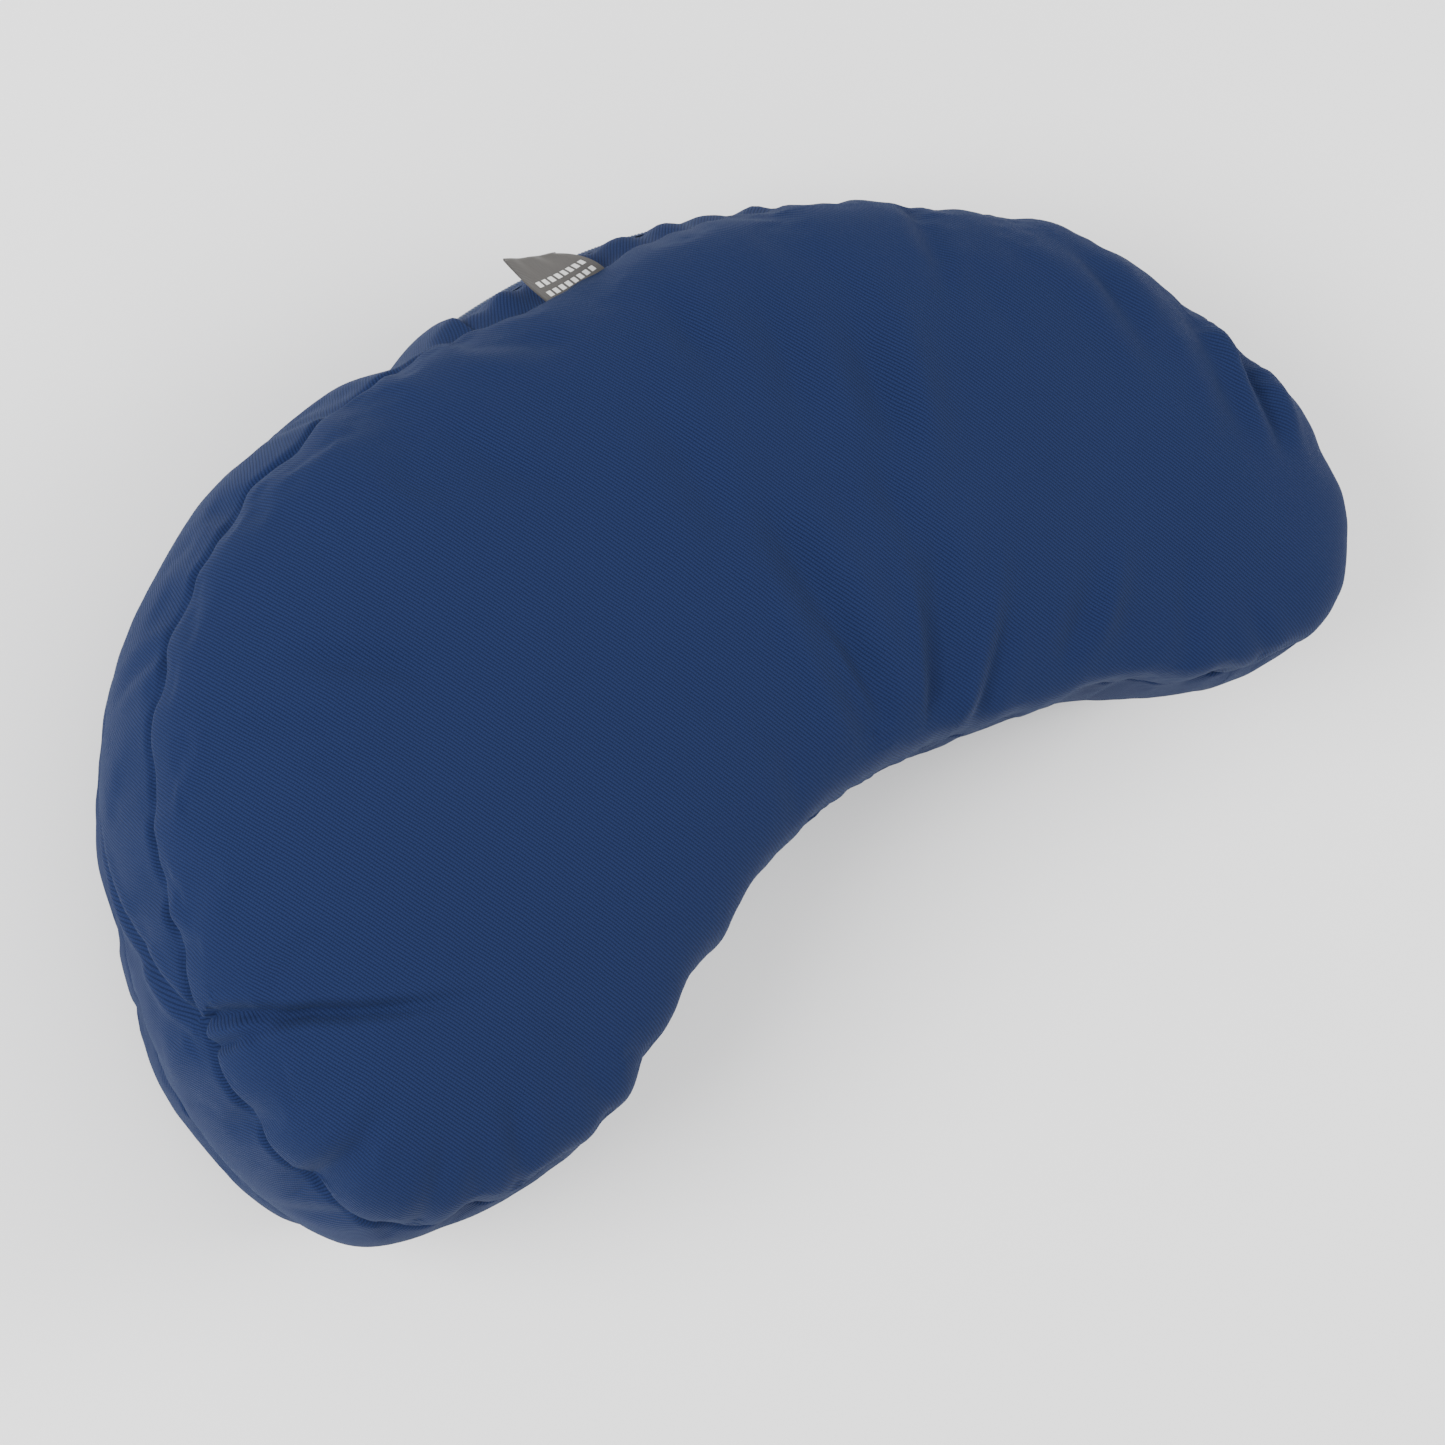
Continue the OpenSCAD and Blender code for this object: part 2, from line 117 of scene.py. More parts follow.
# One grid over a whole panel: columns along the crescent, rows from the inner to
# the outer seam. The ribs run from the spine; each end cap is a square squeezed
# into a half disc (p = u sqrt(1 - v2/2), q = v sqrt(1 - u2/2)), so there is no pole.
def panelGrid(refine):
    cap, main, rows = (meshing[k] * refine for k in ("capColumns", "mainColumns", "rows"))
    v = np.sin(np.pi / 2 * np.linspace(-1, 1, rows + 1))
    u = np.linspace(-1, 1, main + 1)
    onSpine = u * arcs["spineEnd"]
    spine = arcs["outerCentre"] + np.stack([arcs["b"] * np.sin(onSpine),
                                            arcs["a"] * np.cos(onSpine) - arcs["halfGap"]], -1)
    toOuter = heading(spine - arcs["outerCentre"])
    toInner = heading(arcs["innerCentre"] - spine)
    fromInner = heading(spine - arcs["innerCentre"])
    e0, e1, e2, e3 = arcs["ends"]
    outerShare = e0 * (np.pi - arcs["outerTurn"] - toOuter) / (np.pi - 2 * arcs["outerTurn"])
    innerShare = e1 + (e2 - e1) * (fromInner - arcs["innerTurn"]) / (np.pi - 2 * arcs["innerTurn"])
    ones = np.ones_like(v)
    outer = (v >= 0)[None]
    root = spine[:, None] * ones[None, :, None]
    turn = np.where(outer, toOuter[:, None], toInner[:, None])
    share = np.where(outer, outerShare[:, None], innerShare[:, None])
    toSpine = np.linalg.norm(spine - arcs["outerCentre"], axis=-1)
    width = (crescent["outerRadius"] - toSpine)[:, None] * ones
    reach = np.abs(v)[None] * np.ones_like(u)[:, None]
    inner = np.where(outer, 0., 1.) * np.ones_like(u)[:, None]

    w = np.sin(np.pi / 2 * np.linspace(0, 1, cap + 1))[1:, None]
    p, q = w * np.sqrt(1 - v ** 2 / 2), v * np.sqrt(1 - w ** 2 / 2)
    polar = np.arctan2(q, p)
    span = np.pi - arcs["innerTurn"] + arcs["outerTurn"]
    capTurn = arcs["outerTurn"] + (polar - np.pi / 2) / np.pi * span
    capReach = np.minimum(np.hypot(p, q), 1)
    part = (np.pi / 2 - polar) / np.pi
    capInner = .5 - .5 * np.cos(np.pi * part)
    flat = np.ones_like(capReach)

    def join(left, middle, right):
        return np.concatenate([left[::-1], middle, right])
    return dict(
        root=join(arcs["leftTip"] * flat[..., None], root, arcs["rightTip"] * flat[..., None]),
        turn=join(np.pi - capTurn, turn, capTurn),
        reach=join(capReach, reach, capReach),
        share=join(1 - part * (1 - e2), share, e0 + part * (e1 - e0)),
        width=join(crescent["tipRadius"] * flat, width, crescent["tipRadius"] * flat),
        inner=join(capInner, inner, capInner))


# The grid's border as one loop, clockwise from the left end of the outer seam
def border(field):
    return np.concatenate([field[:-1, -1], field[-1, :0:-1], field[:0:-1, 0], field[0, :-1]])


def bump(x):
    return np.where(np.abs(x) < 1, .5 + .5 * np.cos(np.pi * np.clip(x, -1, 1)), 0)


def around(share, centre):
    return (share - centre + .5) % 1 - .5


def smooth(x):
    x = np.clip(x, 0, 1)
    return x * x * (3 - 2 * x)


# Sum of sines that closes after one turn round the outline
def ripple(share, lowest, highest):
    waves = np.arange(lowest, highest)
    phase, size = rng.uniform(0, 2 * np.pi, len(waves)), rng.normal(0, 1, len(waves))
    angles = 2 * np.pi * share[..., None] * waves + phase
    return (np.sin(angles) * size).sum(-1) / np.sqrt(len(waves) / 2)


# Share of the outline at a direction on the outer arc
def outerShareAt(turn):
    return (np.pi - arcs["outerTurn"] - turn) / (np.pi - 2 * arcs["outerTurn"]) * arcs["ends"][0]


zipFrom = outerShareAt(np.radians(zipper["hoodAt"]))
zipTo = arcs["ends"][0] - zipper["endMargin"] / arcs["length"]


# 1 along the zip, falling to 0 a little beyond each of its ends
def nearZip(share):
    return smooth((share - zipFrom + .02) / .02) * smooth((zipTo + .02 - share) / .02)


# Ripples of the two seams: the fewest and the most waves round the outline
seamWaves = dict(topWander=(9, 46), topRise=(7, 40), topPucker=(28, 110), bottomWander=(9, 40),
                 bottomPucker=(30, 120))
seamTable = np.linspace(0, 1, 4097)
seamNoise = {key: ripple(seamTable, *waves) for key, waves in seamWaves.items()}


def seamWave(share, which):
    return np.interp(share % 1, seamTable, seamNoise[which])


# Half width of a panel at its seam: the plain crescent, its soft bumps, and a
# wander that fades quickly away from the seam and is calmer along the zip
def seamReach(g, t, bumps, which):
    wander = seam["wander"] * seamWave(g["share"], which) * (1 - seam["calmByZip"] * nearZip(g["share"]))
    return g["width"] + outlineOffset(g["share"]) + outlineOffset(g["share"], bumps) + wander * t ** 6


# Outline offset: a few soft bumps, and the small wander of a hand-guided seam
def outlineOffset(share, bumps=outlineBumps):
    return sum(size * bump(around(share, at) / half) for at, half, size in bumps)


# Upper panel at share t of each rib: height = seam t2 + rise (1 - t^2.6)^(1/1.9),
# reach = t half-width + a shoulder that swells it towards the seam.
def crownPoint(g, t):
    c = crescent
    half = seamReach(g, t, topSeamBumps, "topWander")
    shoulder = c["outerShoulder"] * (1 - g["inner"]) \
        + c["innerShoulder"] * g["inner"] * (1 + .45 * bump(around(g["share"], .66) / .11))
    swell = np.sin(np.pi * np.clip((t - .45) / .55, 0, 1))
    out = t * half + shoulder * g["width"] / c["shoulderWidth"] * swell
    rise = c["crownRise"] * (g["width"] / (c["waist"] / 2)) ** c["crownTaper"]
    square = c["edgeSquareness"] - c["edgeOpening"] * bump(around(g["share"], .06) / .22)
    z = c["seamHeight"] + outlineOffset(g["share"], topHeightBumps) * t ** 2 \
        + seam["rise"] * seamWave(g["share"], "topRise") * t ** 6 \
        + rise * (1 - np.clip(t, 0, 1) ** c["edgeRoundness"]) ** (1 / square)
    return np.concatenate([g["root"] + unit(g["turn"]) * out[..., None], z[..., None]], -1)


# Lower panel: flat, then a quarter circle up to its seam
def basePoint(g, t):
    c = crescent
    s = np.clip((t - c["bottomFlat"]) / (1 - c["bottomFlat"]), 0, 1)
    half = seamReach(g, t, bottomSeamBumps, "bottomWander")
    out = t * half + c["bottomShoulder"] * np.sin(np.pi * s)
    z = c["bottomSeamHeight"] * (1 - np.sqrt(np.clip(1 - s * s, 0, 1)))
    return np.concatenate([g["root"] + unit(g["turn"]) * out[..., None], z[..., None]], -1)


# Side band between the two seams, swelling by a half sine; a = 0 at the upper one
def bandPoint(loop, top, bottom, a):
    a = np.asarray(a)
    straight = top[:, None] * (1 - a)[..., None] + bottom[:, None] * a[..., None]
    apart = 1 - nearZip(loop["share"])
    # along the zip the band leaves the seams quickly, so that it lies outside the tapes
    byZip = smooth(a / .2) * smooth((1 - a) / .2)
    middle = 4 * a * (1 - a) * apart[:, None] + byZip * (1 - apart[:, None])
    offset = (outlineOffset(loop["share"]) + .6 * outlineOffset(loop["share"], bottomSeamBumps)) * apart
    plain = loop["root"] + unit(loop["turn"]) * (loop["width"] + offset)[:, None]
    bulge = crescent["zipBulge"] + (crescent["bandBulge"] - crescent["zipBulge"]) * apart[:, None]
    xy = straight[..., :2] * (1 - middle)[..., None] + plain[:, None] * middle[..., None]
    xy = xy + unit(loop["turn"])[:, None] * (bulge * np.sin(np.pi * a) ** .8)[..., None]
    return np.concatenate([xy, straight[..., 2:]], -1)


def bandShares(rows):
    b = np.linspace(0, 1, rows + 1)
    return .45 * b + .55 * (.5 - .5 * np.cos(np.pi * b))


# The whole closed skin at one fineness: two panels and the band between them
def skin(refine):
    g = panelGrid(refine)
    top, bottom = crownPoint(g, g["reach"]), basePoint(g, g["reach"])
    loop = {k: border(f) for k, f in g.items()}
    a = np.tile(bandShares(meshing["bandRows"] * refine), (len(loop["share"]), 1))
    return dict(grid=g, loop=loop, a=a, top=top, bottom=bottom,
                band=bandPoint(loop, border(top), border(bottom), a))


def gridFaces(columns, rows, wrap=False, flip=False):
    i, j = np.meshgrid(np.arange(columns if wrap else columns - 1), np.arange(rows - 1), indexing="ij")
    n = (i + 1) % columns
    quads = np.stack([i * rows + j, n * rows + j, n * rows + j + 1, i * rows + j + 1], -1).reshape(-1, 4)
    return quads[:, ::-1] if flip else quads


# Unit normals of a grid of points, from central differences along both its ways
def gridNormals(points, wrap=False, flip=False):
    along = np.roll(points, -1, 0) - np.roll(points, 1, 0) if wrap else np.gradient(points, axis=0)
    n = np.cross(along, np.gradient(points, axis=1))
    n /= np.maximum(np.linalg.norm(n, axis=-1, keepdims=True), 1e-12)
    return -n if flip else n


def makeMesh(name, points, faces, uv=None):
    mesh = bpy.data.meshes.new(name)
    faces = np.asarray(faces, np.int32)
    mesh.vertices.add(len(points))
    mesh.vertices.foreach_set("co", np.asarray(points, np.float32).ravel())
    mesh.loops.add(faces.size)
    mesh.loops.foreach_set("vertex_index", faces.ravel())
    mesh.polygons.add(len(faces))
    mesh.polygons.foreach_set("loop_start", np.arange(0, faces.size, faces.shape[1], dtype=np.int32))
    mesh.polygons.foreach_set("use_smooth", np.ones(len(faces), bool))
    mesh.update(calc_edges=True)
    if uv is not None:
        mesh.uv_layers.new(name="cloth").data.foreach_set("uv", np.asarray(uv, np.float32).ravel())
    mesh.validate()
    piece = bpy.data.objects.new(name, mesh)
    bpy.context.scene.collection.objects.link(piece)
    return piece


# Sews the coarse skin shut, blows it up a little while its seams shrink, and
# keeps only the fine creases: simulated shape less its own smoothed copy.
def simulatedCreases(coarse):
    sizes = [coarse[k].shape[0] * coarse[k].shape[1] for k in skinParts]
    points = np.concatenate([coarse[k].reshape(-1, 3) for k in skinParts])
    nTop = np.arange(sizes[0]).reshape(coarse["top"].shape[:2])
    nBottom = nTop + sizes[0]
    nBand = np.arange(sizes[2]).reshape(coarse["band"].shape[:2]) + 2 * sizes[0]
    weld = np.arange(len(points))
    weld[nBand[:, 0]], weld[nBand[:, -1]] = border(nTop), border(nBottom)
    rows = coarse["top"].shape[1]
    faces = np.concatenate([gridFaces(coarse["top"].shape[0], rows),
                            gridFaces(coarse["top"].shape[0], rows, flip=True) + sizes[0],
                            gridFaces(len(nBand), nBand.shape[1], wrap=True) + 2 * sizes[0]])
    # back gives each point's number on the sewn skin
    used, back = np.unique(weld, return_inverse=True)
    skinned = makeMesh("simulated skin", points[used], back[faces])
    shrink, hold = skinned.vertex_groups.new(name="seams"), skinned.vertex_groups.new(name="held")
    seams = np.unique(back[np.concatenate([border(nTop), border(nBottom)])])
    shrink.add(seams.tolist(), 1, "REPLACE")
    ring = coarse["loop"]["share"]
    stiffSide = nearZip(ring) > .5
    hold.add(np.unique(back[nBand[stiffSide].ravel()]).tolist(), 1, "REPLACE")
    flatPart = coarse["grid"]["reach"] < .5
    hold.add(np.unique(back[nBottom[flatPart]]).tolist(), 1, "REPLACE")
    modifier = skinned.modifiers.new("cloth", "CLOTH")
    s = modifier.settings
    s.quality, s.mass, s.air_damping = 6, .25, 4
    s.tension_stiffness = s.compression_stiffness = 18
    s.shear_stiffness, s.bending_stiffness = 6, .06
    s.use_pressure, s.uniform_pressure_force = True, cloth["pressure"]
    s.vertex_group_mass = "held"
    s.vertex_group_shrink, s.shrink_min, s.shrink_max = "seams", -.01, cloth["seamShrink"]
    s.effector_weights.gravity = 0
    modifier.collision_settings.use_collision = False
    modifier.point_cache.frame_start, modifier.point_cache.frame_end = 1, cloth["frames"]
    scene = bpy.context.scene
    for number in range(1, cloth["frames"] + 1):
        scene.frame_set(number)
    got = skinned.evaluated_get(bpy.context.evaluated_depsgraph_get()).data
    after = np.zeros(len(got.vertices) * 3)
    got.vertices.foreach_get("co", after)
    after = after.reshape(-1, 3)
    moved = after - points[used]
    scene.frame_set(1)
    bpy.data.objects.remove(skinned)
    # lowpass on the welded skin: repeated averages over the neighbours
    quads = back[faces]
    pairs = np.concatenate([quads[:, [0, 1]], quads[:, [1, 2]], quads[:, [2, 3]], quads[:, [3, 0]]])
    pairs = np.concatenate([pairs, pairs[:, ::-1]])
    count = np.bincount(pairs[:, 0], minlength=len(used))[:, None]
    soft = moved.copy()
    for step in range(cloth["averages"]):
        total = np.stack([np.bincount(pairs[:, 0], soft[pairs[:, 1], k], len(used))
                          for k in range(3)], -1)
        soft = .5 * soft + .5 * total / count
    fine = moved - soft
    print("cloth: moved", round(float(np.abs(moved).max() * perMetre), 1), "mm, creases",
          round(float(np.abs(fine).max() * perMetre), 2), "mm at most,",
          round(float(fine.std() * perMetre), 3), "mm typical")
    fine = fine[back]
    return dict(top=fine[nTop], bottom=fine[nBottom], band=fine[nBand])


# A grid's values at a finer spacing, by cubic interpolation along one way
def finer(field, factor, axis, wrap=False):
    f = np.moveaxis(field, axis, 0)
    n = len(f)
    where = np.arange(n * factor if wrap else (n - 1) * factor + 1) / factor
    i = np.floor(where).astype(int)
    x = (where - i).reshape([-1] + [1] * (f.ndim - 1))

    def at(k):
        return f[(i + k) % n] if wrap else f[np.clip(i + k, 0, n - 1)]
    a, b, c, d = at(-1), at(0), at(1), at(2)
    out = b + .5 * x * (c - a + x * (2 * a - 5 * b + 4 * c - d + x * (3 * (b - c) + d - a)))
    return np.moveaxis(out, 0, axis)


# Folds in the two panels, listed one by one. Place is the share of the outline where the
# fold leaves the seam; inset, length and bend are in mm; slant is in degrees from
# the straight way in, clockwise from above. Negative depth is a ridge. Side is how
# much the cloth rises beside it; fades are the shares of its length at each end.
foldNames = ("place", "inset", "length", "slant", "bend", "depth", "half", "side", "fadeIn", "fadeOut")
folds = [
    # waist, a fan that runs in from the inner edge
    (.731, 5, 100, -5, 3, 3.4, 11, .5, .15, .4),
    (.729, 10, 45, -10, 0, -2.2, 5, .1, .3, .4),
    (.705, 45, 60, -5, 0, 1.7, 9, .4, .4, .5),
    (.720, 5, 75, 20, 3, 2.2, 9, .5, .15, .4),
    (.722, 5, 50, 15, 0, -1.8, 5, .1, .3, .4),
    (.712, 0, 70, 30, 4, -2.2, 7, .2, .2, .5),
    (.704, 0, 45, 30, 0, 1.2, 6, .4, .2, .5),
    (.669, 10, 45, 20, 0, -1.8, 8, .2, .3, .5),
    (.682, 10, 35, 30, 0, 1.3, 7, .4, .3, .5),
    # long soft ones that run in from the outer edge
    (.245, 35, 70, 0, 0, 1.6, 12, .4, .5, .3),
    (.275, 15, 40, 5, 0, 1.5, 9, .4, .4, .5),
    (.300, 20, 65, 0, 0, 1.4, 10, .4, .5, .5),
    (.320, 30, 70, -10, 0, 2.0, 10, .4, .5, .4),
    (.345, 15, 90, -5, 0, -2.0, 13, .2, .5, .4),
    (.185, 15, 40, -5, 0, .9, 9, .3, .4, .5),
    (.212, 0, 40, -45, 0, 1.4, 7, .4, .1, .5),
    # right end
    (.362, 0, 45, -10, 0, 1.2, 7, .4, .1, .5),
    (.390, 0, 80, -50, -8, 2.2, 8, .6, .3, .5),
    (.400, 0, 45, -45, 0, -1.4, 8, .2, .3, .4),
    (.448, 5, 55, -45, 0, 1.6, 8, .5, .3, .4),
    (.463, 0, 55, -50, -3, 2.8, 6, .7, .1, .35),
    (.600, 0, 25, 0, 0, 1.0, 6, .3, .1, .5),
    (.635, 0, 25, 0, 0, .9, 7, .3, .1, .5),
    # left end: the pinch at the seam, the bulge under it, and small puckers
    (.008, 0, 90, 5, 3, 3.8, 3.8, .3, .02, .7),
    (.002, 0, 35, -10, 0, 2.0, 3, .2, .02, .6),
    (.985, 10, 60, 0, 0, -.9, 16, 0, .05, .6),
    (.100, 25, 50, -10, 0, 1.7, 7, .3, .4, .3),
    (.080, 15, 45, -10, 0, 1.0, 6, .3, .3, .5),
    (.955, 0, 35, 0, 0, 1.3, 6, .4, .05, .5),
    (.925, 0, 30, 0, 0, 1.0, 6, .4, .05, .5),
    (.895, 0, 35, 5, 0, 1.2, 6, .4, .05, .5),
    (.862, 0, 30, 15, 0, 1.0, 7, .3, .05, .5),
    (.765, 5, 30, 20, 0, .8, 8, .3, .2, .5),
]
# The same on the band, where the way in is down from the upper seam and a positive
# slant leans clockwise round the outline
bandFolds = [
    (.008, 0, 85, 60, -8, 2.6, 4, .4, .03, .5),
    (.004, 8, 30, -15, 0, -1.4, 8, .1, .1, .5),
    (.102, 0, 35, -25, 0, 1.2, 5, .3, .05, .5),
    (.943, 0, 35, 20, 0, 1.0, 5, .3, .05, .5),
    (.179, 0, 35, -25, 0, .9, 5, .3, .05, .5),
]
outline = {key: border(field) for key, field in panelGrid(1).items()}


# Start of a fold and the way in from it, in plan or on the unrolled band
def foldStart(place, onBand):
    if onBand:
        return np.array([around(place, 0) * arcs["length"], 0]), np.array([0, 1.])
    k = np.abs(around(outline["share"], place)).argmin()
    way = unit(outline["turn"][k])
    return outline["root"][k] + way * (outline["width"][k] + outlineOffset(outline["share"][k])), -way


# A fold's middle line: straight, with a sideways bow that is widest half way
def foldLine(f, onBand):
    start, way = foldStart(f["place"], onBand)
    slant = np.radians(f["slant"])
    way = np.array([way[0] * np.cos(slant) + way[1] * np.sin(slant),
                    way[1] * np.cos(slant) - way[0] * np.sin(slant)])
    t = np.linspace(0, 1, 41)[:, None]
    sideways = np.array([way[1], -way[0]])
    bow = sideways * f["bend"] * 4 * t * (1 - t)
    return start * perMetre + way * (f["inset"] + f["length"] * t) + bow


# Height of the folds at each point: a bell across each line, fading at its ends
def foldHeight(points, onBand=False):
    flat = points[..., :2].reshape(-1, 2) * perMetre
    height = np.zeros(len(flat))
    for values in bandFolds if onBand else folds:
        f = dict(zip(foldNames, values))
        curve = foldLine(f, onBand)
        reach = np.ptp(curve, axis=0) / 2 + 4 * f["half"]
        near = np.flatnonzero((np.abs(flat - (curve.min(0) + curve.max(0)) / 2) < reach).all(1))
        gap = flat[near, None] - curve[None]
        best = np.linalg.norm(gap, axis=-1).argmin(1)
        along = best / (len(curve) - 1)
        tangent = np.gradient(curve, axis=0)[best]
        tangent /= np.linalg.norm(tangent, axis=-1, keepdims=True)
        miss = gap[np.arange(len(near)), best]
        x = (tangent[:, 0] * miss[:, 1] - tangent[:, 1] * miss[:, 0]) / f["half"]
        beyond = (miss * tangent).sum(1) / f["half"]
        shape = -np.exp(-(x / .55) ** 2) + f["side"] * np.exp(-((np.abs(x) - 1.25) / .6) ** 2)
        ends = smooth(along / f["fadeIn"] + .03) * smooth((1 - along) / f["fadeOut"])
        height[near] += f["depth"] * shape * (ends * np.exp(-beyond ** 2))
    return (height * mm).reshape(points.shape[:-1])


# Slow swells of the filling under the cloth, as a few crossed waves in plan
swells = np.array([(rng.uniform(0, np.pi), rng.uniform(.045, .12), rng.uniform(0, 6.28))
                   for k in range(16)])


def fillingSwell(points):
    total = 0
    for turn, length, phase in swells:
        along = points[..., 0] * np.cos(turn) + points[..., 1] * np.sin(turn)
        total = total + np.sin(2 * np.pi / length * along + phase)
    return total / 4


print("outline", round(arcs["length"] * perMetre), "mm round")
refine = meshing["refine"]
fine = skin(refine)
crease = simulatedCreases(skin(1))


# Length of cloth from the spine to each point, so that the weave isn't stretched
def clothReach(pointAt, g):
    total, before = 0, pointAt(g, g["reach"] * 0)
    for k in np.linspace(0, 1, 25)[1:]:
        now = pointAt(g, np.sin(np.arcsin(g["reach"]) * k))
        total = total + np.linalg.norm(now - before, axis=-1)
        before = now
    return total


def addCreases(points, key, wrap):
    if crease is None:
        return points
    field = finer(finer(crease[key], refine, 0, wrap), refine, 1)
    size = np.linalg.norm(field, axis=-1, keepdims=True) * cloth["wrinkle"]
    return points + field * cloth["wrinkle"] / (1 + size / cloth["deepest"])


# Distance from the seam in metres along the cloth, then the tuck of the stitch
# line and the short puckers that run off it
def seamDetail(share, distance, which):
    pull = 1 + .2 * seamWave(share, "topPucker")
    tuck = -seam["tuck"] * pull * np.exp(-(distance / seam["tuckReach"]) ** 2)
    pucker = seam["pucker"] * seamWave(share, which) * np.exp(-distance / seam["puckerReach"]) \
        * smooth(distance / .003)
    return tuck + pucker


def dressPanel(key, pointAt, flip):
    g, points = fine["grid"], fine[key]
    normal = gridNormals(points, flip=flip)
    edge = clothReach(pointAt, {**g, "reach": np.ones_like(g["reach"])})
    reach = clothReach(pointAt, g)
    distance = edge - reach
    height = seamDetail(g["share"], distance, key + "Pucker")
    if key == "top":
        height = height + foldHeight(points) + .0007 * fillingSwell(points) * smooth(distance / .03)
    else:
        height = height + .0006 * fillingSwell(points) * smooth(distance / .02)
    points = addCreases(points, key, False) + normal * height[..., None]
    if key == "bottom":
        points[..., 2] = np.maximum(points[..., 2], .0002 * (1 + fillingSwell(points)).clip(0, 2))
    flat = g["root"] + unit(g["turn"]) * reach[..., None]
    return points, flat


top, topFlat = dressPanel("top", crownPoint, False)
bottom, bottomFlat = dressPanel("bottom", basePoint, True)
loop, a = fine["loop"], fine["a"]
bandNormal = gridNormals(fine["band"], wrap=True)
drop = bandDrop * a
distance = np.minimum(drop, drop[:, -1:] - drop)
ring = loop["share"][:, None] * np.ones_like(a)
byTop, byBottom = (seamDetail(ring, distance, which) for which in ("topPucker", "bottomPucker"))
bandHeight = np.where(a < .5, byTop, byBottom) \
    * (1 - nearZip(ring) * smooth(distance / .012))
unrolled = np.stack([around(ring, 0) * arcs["length"], drop * np.ones_like(ring)], -1)
bandHeight = bandHeight + foldHeight(unrolled, True) * (1 - nearZip(ring))
band = addCreases(fine["band"], "band", True) + bandNormal * bandHeight[..., None]
band[:, 0], band[:, -1] = border(top), border(bottom)
band[..., 2] = np.maximum(band[..., 2], .0002)
print("skin", top.shape, band.shape)


# Length along a row or column of points, measured from its first one
def runningLength(points, axis=0):
    steps = np.linalg.norm(np.diff(points, axis=axis), axis=-1)
    start = np.zeros_like(np.take(steps, [0], axis))
    return np.concatenate([start, np.cumsum(steps, axis)], axis)


def cornerUv(values, faces):
    return values.reshape(-1, 2)[faces]


def panelPiece(name, points, flat, flip):
    faces = gridFaces(points.shape[0], points.shape[1], flip=flip)
    return makeMesh(name, points.reshape(-1, 3), faces, cornerUv(flat, faces))


topPiece = panelPiece("cushion_top", top, topFlat, False)
bottomPiece = panelPiece("cushion_bottom", bottom, bottomFlat, True)

# The band leaves out the zip: its columns run from the closed end round to the open end
lapLength = runningLength(fine["band"][:, a.shape[1] // 2])
bandUv = np.stack([lapLength[:, None] * np.ones_like(a), -drop], -1)
zipColumns = np.flatnonzero((loop["share"] >= zipFrom) & (loop["share"] <= zipTo))
first, last = zipColumns[0], zipColumns[-1]
order = np.concatenate([np.arange(last, len(a)), np.arange(0, first + 1)])
bandFaces = gridFaces(len(order), a.shape[1])
bandUvOpen = bandUv[order].copy()
nearTop = a.shape[1] // 4
closingStep = np.linalg.norm(fine["band"][0, nearTop] - fine["band"][-1, nearTop])
bandUvOpen[len(a) - last:, :, 0] += lapLength[-1] + closingStep
bandPiece = makeMesh("cushion_band", band[order].reshape(-1, 3), bandFaces,
                     cornerUv(bandUvOpen, bandFaces))


# One strip of cloth beside the zip: from the seam to the slot, round a folded
# edge, and back inside. The seam side takes the band's own shape.
def facingPiece(name, columns, upper):
    zipLoop = {k: f[columns] for k, f in loop.items()}
    slotA = (crescent["seamHeight"] - zipper["height"] - zipper["slotHalf"]) / bandDrop
    rows = np.linspace(0, 1, zipper["facingRows"])
    shares = slotA * rows if upper else 1 - slotA * rows
    aHere = np.tile(shares, (len(columns), 1))
    outer = bandPoint(zipLoop, band[columns, 0], band[columns, -1], aHere)
    outward = unit(zipLoop["turn"])
    wave = zipper["ripple"] * seamWave(zipLoop["share"], "bottomPucker")[:, None]
    outer[..., :2] += outward[:, None] * (wave * np.sin(np.pi * rows) ** 2)[..., None]
    # topstitch: a shallow groove beside the folded edge
    fromEdge = slotA * bandDrop * (1 - rows)
    groove = seam["topstitchDepth"] * np.exp(-((fromEdge - seam["topstitch"]) / seam["topstitchHalf"]) ** 2)
    outer[..., :2] -= outward[:, None] * groove[..., None]
    # the folded edge keeps level with the slot, clear of the slider
    slotEdge = zipper["height"] + (zipper["slotHalf"] + zipper["edgeClear"]) * (1 if upper else -1)
    outer[..., 2] += (slotEdge - outer[:, -1:, 2]) * rows ** 2
    # at both ends the facing runs into the band's own surface
    fromEnd = np.minimum(np.arange(len(columns)), np.arange(len(columns))[::-1])
    blend = zipper["joinColumns"]
    for k in np.flatnonzero(fromEnd < blend):
        column = columns[k]
        bandCloth = np.stack([np.interp(shares, a[column], band[column, :, n]) for n in range(3)], -1)
        outer[k] += (bandCloth - outer[k]) * smooth((blend - fromEnd[k]) / blend)
    edge = outer[:, -1]
    out3 = np.concatenate([outward, np.zeros((len(columns), 1))], -1)
    down = np.array([0, 0, -1. if upper else 1.])
    t = cloth["thickness"] / 2
    roll = [edge - out3 * t + down * t * np.sin(w) + out3 * t * np.cos(w)
            for w in np.linspace(0, np.pi, 7)[1:]]
    back = [roll[-1] - down * s * zipper["hem"] for s in (.35, .7, 1)]
    points = np.concatenate([outer, np.stack(roll + back, 1)], 1)
    faces = gridFaces(len(columns), points.shape[1], flip=not upper)
    length = runningLength(points, 1)
    uv = np.stack([lapLength[columns][:, None] * np.ones_like(length), -length], -1)
    return makeMesh(name, points.reshape(-1, 3), faces, cornerUv(uv, faces))


zipSpan = np.arange(first, last + 1)
facings = [facingPiece("facing_upper", zipSpan, True), facingPiece("facing_lower", zipSpan, False)]

